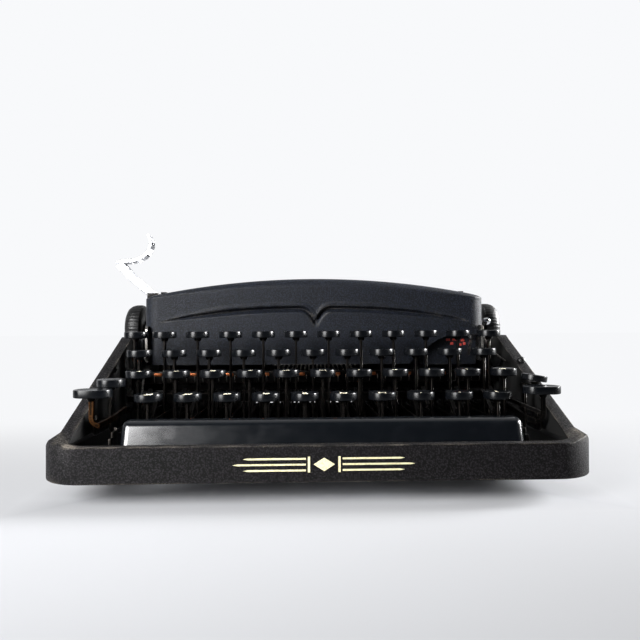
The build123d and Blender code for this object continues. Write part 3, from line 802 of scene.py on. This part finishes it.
# Cross members and the works.
def crossMembers():
    shape = soften(cadCopy("cross_rails"), 0.3, 1)
    for face in shape.faces:
        centre = face.calc_center_median()
        back, z = (centre.y - frontY) / mm, centre.z / mm
        face.material_index = 1 if back < 100 or (116 <= back <= 147 and z > 40) else 0
    piece("cross_members", [shape], "frame", *steelAndBlack, ["cross_rails"])


stopRail = {"back": 102.6, "z": 48.2, "half": 110.8, "rivets": 10, "firstRivet": -94.7, "pitch": 21.4,
            "hooks": 42, "hookPitch": 4.7625}


def leverStops():
    # rail across behind the stems, its copper rivets and the row of small spring hooks
    back, length = stopRail["back"], 2 * stopRail["half"]
    parts = [put(block((length, 3, 7), 0.6), (0, back, stopRail["z"])),
             put(block((length, 2, 5), 0.4), (0, back + 9, 42))]
    piece("lever_stop_rail", parts, "frame", [blackedSteel], "bright_steel")
    rivets, hooks = [], []
    for index in range(stopRail["rivets"]):
        x = stopRail["firstRivet"] + index * stopRail["pitch"]
        rivets.append(put(block((4.6, 0.9, 2.0), 0.4), (x, back - 1.7, stopRail["z"] + 1.6)))
    for index in range(stopRail["hooks"]):
        x = (index - (stopRail["hooks"] - 1) / 2) * stopRail["hookPitch"] + 1.2
        path = bent([(x, back - 1.4, 49.5), (x, back - 3.4, 48.6), (x, back - 3.2, 46),
                     (x, back - 1.6, 45.2)], 1, 2)
        hooks.append(swept(path, 0.55, 0.55, (1, 0, 0), 5))
    piece("stop_rail_rivets", rivets, "frame", [copper], "bright_steel")
    piece("spring_hooks", hooks, "frame", *steel)


basket = {"bars": 42, "swing": 66, "centre": 98.0, "slugAt": 54.2}


def typeBasket():
    # the segment keeps its CAD shape; each bar gets a tapered shank and a type slug
    shape = cadCopy("type_basket")
    back1 = span("type_basket")[3]
    last, swing, centre, slugAt = basket["bars"] - 1, basket["swing"], basket["centre"], basket["slugAt"]
    bars = [v for v in shape.verts if (v.co.y - frontY) / mm < back1 - 8.05]
    bmesh.ops.delete(shape, geom=bars, context="VERTS")
    soften(shape, 0.3, 1)
    piece("type_segment", [shape], "type_basket", *steel, ["type_basket"])
    parts = []
    for index in range(basket["bars"]):
        angle = radians(swing * (2 * index / last - 1))
        points = [(r * sin(angle), 132.7, centre - r * cos(angle)) for r in (24.5, 40, 50, 54)]
        parts.append(swept(points, 2.0, 0.9, (cos(angle), 0, sin(angle)), grow=[1.2, 0.8, 0.75, 0.9]))
        slug = block((2.6, 2.5, 3.4), 0.2, 1)
        parts.append(put(slug, (slugAt * sin(angle), 132.2, centre - slugAt * cos(angle)),
                         (0, -index / last * (2 * swing) + swing, 0), 1))
    piece("type_bars", parts, "type_basket", *steelAndBlack)


def ribbonParts():
    for side, body in ((-1, "ribbon_spool_left"), (1, "ribbon_spool_right")):
        x0, x1, back0, back1, z0, z1 = span(body)
        x, back = (x0 + x1) / 2, (back0 + back1) / 2
        height = z1 - z0
        flange = [(2.55, 0), (17, 0), (17, 1.0), (16.4, 1.2), (8, 1.2)]
        core = [(8, 1.2), (8, height - 1.2)]
        top = [(16.4, height - 1.2), (17, height - 1.0), (17, height), (2.55, height), (2.55, 0)]
        spool = turned(flange + core + top, 48)
        nut = turned([(2.55, height - 0.4), (5, height - 0.4), (5, height - 0.05), (2.55, height - 0.05)], 6)
        piece(body + "_reel", [put(spool, (x, back, z0)), put(nut, (x, back, z0))], body, [blackedSteel],
              "bright_steel", [body])
        wound = turned([(8.2, 1.4), (14.2, 1.4), (14.5, 1.8), (14.5, height - 1.8), (14.2, height - 1.4),
                        (8.2, height - 1.4), (8.2, 1.4)], 48)
        piece(body + "_winding", [put(wound, (x, back, z0))], body, [ribbonCloth], "ribbon")
    strip = bent([(-80, 145.6, 85.5), (-46, 149.4, 85.5), (-14, 150.6, 86),
                  (14, 150.6, 86), (46, 149.4, 85.5), (80, 145.6, 85.5)], 6)
    piece("ribbon_run", [swept(strip, 0.25, 8.6, (0, 0, 1))], "frame", [ribbonCloth], "ribbon")
    guide = [put(block((1.6, 1.6, 30), 0.3), (side * 12, 150.0, 76)) for side in (-1, 1)]
    guide += [put(block((27, 1.2, 2.4), 0.3), (0, 150.2, 62)),
              put(block((25.6, 0.8, 1.4), 0.2), (0, 149.6, 80.4))]
    piece("ribbon_guide", guide, "frame", *steel)
    post = [(0, 55.5), (1.8, 55.5), (1.8, 79), (2.6, 80), (1.3, 81), (1.3, 91), (2.2, 91.6), (0, 92)]
    posts = [put(turned(post, 20), (side * 46, 147.6, 0)) for side in (-1, 1)]
    posts += [put(block((14, 5, 1.6), 0.3), (side * 46, 149.6, 56.6)) for side in (-1, 1)]
    piece("ribbon_posts", posts, "frame", *steel)


def rubberFeet():
    foot = [(0, 3.4), (3.2, 3.4), (3.4, 0.5), (4, 0), (8.2, 0), (9, 1), (8.4, 6.5), (7.6, 8),
            (7.4, 10), (0, 10)]
    parts = [put(turned(foot, 32), (x, back, 0)) for x in (-98, 98) for back in (52, 258)]
    piece("feet", parts, "frame", [footRubber], "foot_rubber", ["rubber_feet"])


crossMembers()
leverStops()
typeBasket()
ribbonParts()
rubberFeet()
print("works done")

# The carriage.
roller = {"radius": 16.0, "reach": 107.0, "shaft": 3.5, "flutes": 44}


def carriageBody():
    shape = soften(cadCopy("carriage_frame"), 0.5, 2)
    piece("carriage_frame_casting", [shape], "carriage", [enamel], "crinkle_enamel", ["carriage_frame"], 30)
    teeth = [put(block((0.9, 1.0, 3.2), 0.15, 1), (x, 151.75, 64.5)) for x in spread(-96, 96, 2.54)]
    rack = [put(block((200, 0.8, 4), 0.2), (0, 151.9, 69.5))]
    piece("escapement_rack", rack + teeth, "carriage", *steel)
    # release lever at the right end, with its bright ball
    path = bent([(112.4, 155.6, 84.5), (117.5, 155.2, 82.6), (120.6, 154.8, 81.6)])
    arm = swept(path, 1.5, 1.5, (0, 1, 0), 10)
    ball = bmesh.new()
    bmesh.ops.create_uvsphere(ball, u_segments=24, v_segments=14, radius=2.7 * mm)
    piece("carriage_release", [arm, put(ball, (120.8, 154.8, 81.4))], "carriage", [chrome], "bright_chrome")
    # margin stops and scale on the rear bar
    parts = [put(block((206, 2, 5), 0.4), (0, 203.4, 67.4))]
    for x in (-60, 72):
        parts.append(put(block((9, 5, 9), 0.8), (x, 203.6, 69), (0, 0, 0), 1))
    piece("margin_rack", parts, "carriage", *steelAndBlack)
    parts = []
    for side in (-1, 1):
        for back, z in ((165, 67), (184, 67), (160, 84)):
            parts += screw((side * 112.9, back, z), 2.0, (0, 90 * side, 0), 25 + back)
    piece("end_plate_screws", parts, "carriage", *steelAndBlack)


def platenParts():
    x0, x1, back0, back1, z0, z1 = span("platen")
    at = (0, (back0 + back1) / 2, (z0 + z1) / 2)
    radius, reach = roller["radius"], roller["reach"]
    rubber = turned([(roller["shaft"], -reach), (radius - 0.6, -reach), (radius, -reach + 0.6),
                     (radius, reach - 0.6), (radius - 0.6, reach), (roller["shaft"], reach)], 64)
    put(rubber, at, (0, 90, 0))
    piece("platen_roller", [rubber], "platen", [platenRubber], "platen_rubber", ["platen"])
    shaft = turned([(0, x0 + 4), (roller["shaft"], x0 + 4), (roller["shaft"], x1 - 4), (0, x1 - 4)], 28)
    piece("platen_shaft", [put(shaft, at, (0, 90, 0))], "platen", *steel)
    knobs = []
    for side in (-1, 1):
        profile = [(0, 0.8), (5, 0.8), (6, 0), (15.4, 0), (16.6, 0.7), (16.95, 2.2), (16.9, 5.4), (16.2, 8.0),
                   (14.6, 10.2), (12.4, 11.2), (10, 11.45), (8, 11.1), (6, 10.4), (0, 10.2)]
        knob = turned(profile, roller["flutes"] * 4)
        for vert in knob.verts:  # shallow grip flutes round the rim
            r = hypot(vert.co.x, vert.co.y)
            if r > 13.4 * mm:
                angle = Vector((vert.co.x, vert.co.y)).angle_signed(Vector((1, 0)))
                wave = 0.5 - 0.5 * cos(roller["flutes"] * angle)
                factor = 1 - 0.32 * mm * wave / r
                vert.co.x *= factor
                vert.co.y *= factor
        knobs.append(put(knob, (side * 121, at[1], at[2]), (0, 90 * side, 0)))
    piece("platen_knobs", knobs, "platen", [knobMoulding], "black_bakelite", (), 45)
    hub = [(0, 0), (4.6, 0), (4.6, 1.0), (3.8, 1.5), (0, 1.5)]
    hubs = [put(turned(hub, 24), (side * 130.9, at[1], at[2]), (0, 90 * side, 0)) for side in (-1, 1)]
    piece("knob_hubs", hubs, "platen", [chrome], "bright_chrome")
    ratchet = turned([(3.6, -1), (14.4, -1), (14.4, 1), (3.6, 1), (3.6, -1)], 72)
    for vert in ratchet.verts:
        if vert.co.xy.length > 14 * mm and round(vert.co.xy.angle_signed(Vector((1, 0))) / tau * 72) % 2:
            vert.co.xy *= 0.93
    put(ratchet, (-107.9, at[1], at[2]), (0, 90, 0))
    piece("line_ratchet", [ratchet], "platen", *steel)


def paperParts():
    shape = soften(cadCopy("paper_table"), 0.6, 2)
    piece("paper_table_sheet", [shape], "carriage", [coverEnamel], "crinkle_enamel", ["paper_table"], 30)
    guides = []
    for x, width in ((-70, 3), (66, 3)):
        path = bent([(x, 199.2, 71), (x, 204.6, 83), (x, 209, 92.5), (x, 206, 95.2)], 3)
        guides.append(swept(path, width, 0.9, (0, -1, 0.4)))
    piece("paper_guides", guides, "carriage", *steel)
    rodBack, rodZ = span("paper_bail")[2] + 4, 95.9
    rod = turned([(0, -103), (1.5, -103), (1.5, 103), (0, 103)], 20)
    parts = [put(rod, (0, rodBack, rodZ), (0, 90, 0))]
    for side in (-1, 1):
        arm = plate([(rodBack - 2, rodZ), (rodBack, rodZ + 2), (191, 103.4), (194, 100.5), (191, 97.6),
                     (rodBack, rodZ - 2)], 1.8, 0.8)
        parts.append(sideways(arm, side * 104 + 0.9))
        parts.append(put(turned([(0, 0), (1.9, 0), (1.9, 8.6), (0, 8.6)], 20), (side * 104.2, 191, 100.5),
                         (0, 90 * side, 0)))
    piece("paper_bail_rod", parts, "paper_bail", [chrome], "bright_chrome", ["paper_bail"])
    wheels = [put(turned([(1.55, -6), (3.7, -6), (4, -5.6), (4, 5.6), (3.7, 6), (1.55, 6), (1.55, -6)], 28),
                  (x, rodBack, rodZ), (0, 90, 0)) for x in (-45, 45)]
    piece("paper_bail_rollers", wheels, "paper_bail", [footRubber], "foot_rubber")


def returnLever():
    back0, back1 = span("line_space_lever")[2:4]
    front = (back0 + back1) / 2
    pivot = (-111.0, front, 98.0)
    parts = [put(turned([(2.1, -4.5), (4, -4.5), (4, 4.5), (2.1, 4.5), (2.1, -4.5)], 28), pivot, (90, 0, 0))]
    arm = [(-111, front, 99.5), (-118.6, front, 106), (-126.6, front, 113.2), (-131.6, front, 118.6),
           (-135.3, front, 122.8)]
    parts.append(swept(arm, 5.4, 7.6, (0, 1, 0), grow=[0.9, 0.86, 0.92, 1.0, 1.08]))
    finger = [(-137.2, front, 123.4), (-133, front, 124.3), (-127.6, front, 124.6), (-122.6, front, 125.4),
              (-118.2, front, 127.8), (-115.2, front, 131.2), (-113.5, front, 135.2), (-113.5, front, 138.6),
              (-114.6, front, 141.6), (-115.8, front, 143.2)]
    flare = [0.8, 1.2, 1.2, 1.2, 1.15, 1.1, 1.05, 0.95, 0.8, 0.5]
    parts.append(swept(finger, 2.3, 8.4, (0, 1, 0), grow=flare))
    shapes = [soften(part, 0.35, 2, 50) for part in parts]
    piece("carriage_return_lever", shapes, "line_space_lever", [satinNickel], "bright_chrome",
          ["line_space_lever"], 30)


carriageBody()
platenParts()
paperParts()
returnLever()
print("carriage done")


# Stage, light and camera.
def stageFloor():
    # a pale matte sweep that brightens behind the machine, with a painted shadow under the machine
    shape = bmesh.new()
    bmesh.ops.create_grid(shape, x_segments=1, y_segments=1, size=6)
    mesh = bpy.data.meshes.new("floor")
    shape.to_mesh(mesh)
    shape.free()
    floor = bpy.data.objects.new("floor", mesh)
    addToScene(floor)
    material, tree, shader, spot = startFinish("pale_paper_sweep", "#808184", 0.0, 0.9)
    axes = addNode(tree, "SeparateXYZ", {}, {0: spot}).outputs
    depth = axes["Y"]
    grain = noise(tree, spot, 60, 3)
    tree.links.new(blended(tree, grain, "#7e7f82", "#828387"), shader.inputs["Base Color"])
    glow = addNode(tree, "MapRange", {"interpolation_type": "SMOOTHSTEP", "From Min": -0.16, "From Max": 0.12,
                                      "To Min": 0.45, "To Max": 1.0}, {"Value": depth}).outputs[0]
    nearSide = ranged(tree, depth, -0.45, -0.9)
    glow = addNode(tree, "Math", {"operation": "MAXIMUM"}, {0: glow, 1: nearSide}).outputs[0]
    footprint = []
    for side, inner, outer in ((axes["X"], 0.1, 0.135), (depth, 0.12, 0.152)):
        away = addNode(tree, "Math", {"operation": "ABSOLUTE"}, {0: side}).outputs[0]
        footprint.append(ranged(tree, away, inner, outer))
    outside = addNode(tree, "Math", {"operation": "MAXIMUM"}, {0: footprint[0], 1: footprint[1]}).outputs[0]
    glow = times(tree, glow, outside)  # painted shadow: no glow under the machine itself
    light = addNode(tree, "Emission", {"Color": linear("#f9fafc"), "Strength": 0.975})
    mix = addNode(tree, "MixShader", {}, {0: glow, 1: shader.outputs[0], 2: light.outputs[0]})
    tree.links.new(mix.outputs[0], tree.nodes["Material Output"].inputs["Surface"])
    mesh.materials.append(material)


studio = {"white": "#f8f9fb", "front": "#141518", "strength": 1.0}


def studioRoom():
    # a white wall behind, a dark room in front
    world = bpy.data.worlds.new("studio")
    bpy.context.scene.world = world
    world.use_nodes = True
    tree = world.node_tree
    shader = tree.nodes["Background"]
    direction = addNode(tree, "SeparateXYZ", {}, {0: addNode(tree, "TexCoord").outputs["Generated"]})
    behind = addNode(tree, "MapRange", {"interpolation_type": "SMOOTHSTEP", "From Min": 0.0, "From Max": 0.5},
                     {"Value": direction.outputs["Y"]}).outputs[0]
    overhead = ranged(tree, direction.outputs["Z"], 0.45, 0.8, 1, 0.3)
    behind = times(tree, behind, overhead)
    light = blended(tree, behind, studio["front"], studio["white"])
    seen = addNode(tree, "LightPath").outputs["Is Camera Ray"]  # the wall itself is pale all round
    tree.links.new(blended(tree, seen, light, studio["white"]), shader.inputs["Color"])
    shader.inputs["Strength"].default_value = studio["strength"]


softLights = [
    # name, place in metres, aims at, width, height, watts, spread in degrees
    ("left_window", (-0.40, -0.46, 0.25), (-0.08, -0.13, 0.04), 0.30, 0.36, 2.0, 60),
    ("right_rim", (0.62, 0.10, 0.30), (0.105, 0.0, 0.10), 0.40, 0.34, 2.6, 26),
    ("overhead", (0.0, 0.25, 1.25), (0.0, 0.0, 0.0), 1.5, 1.1, 2.0, 180),
]


def studioLights():
    for name, at, aim, width, height, watts, beam in softLights:
        light = bpy.data.lights.new(name, "AREA")
        light.shape = "RECTANGLE"
        light.size, light.size_y, light.energy, light.spread = width, height, watts, radians(beam)
        lamp = bpy.data.objects.new(name, light)
        lamp.location = at
        lamp.rotation_euler = (Vector(aim) - Vector(at)).to_track_quat("-Z", "Y").to_euler()
        addToScene(lamp)


view = {"at": (-0.0081, -0.3995, 0.078), "lens": 33.36, "yaw": -1.69, "pitch": 90.68, "roll": -0.3}


def studioCamera():
    camera = bpy.data.cameras.new("camera")
    camera.sensor_width, camera.lens = 36, view["lens"]
    camera.clip_start = 0.01
    holder = bpy.data.objects.new("camera", camera)
    turn = (Matrix.Rotation(radians(view["yaw"]), 4, "Z") @ Matrix.Rotation(radians(view["pitch"]), 4, "X")
            @ Matrix.Rotation(radians(view["roll"]), 4, "Z"))
    holder.matrix_world = Matrix.Translation(view["at"]) @ turn
    addToScene(holder)
    bpy.context.scene.camera = holder


stageFloor()
studioRoom()
studioLights()
studioCamera()
bpy.context.scene.view_settings.view_transform = "Standard"
print("studio done")
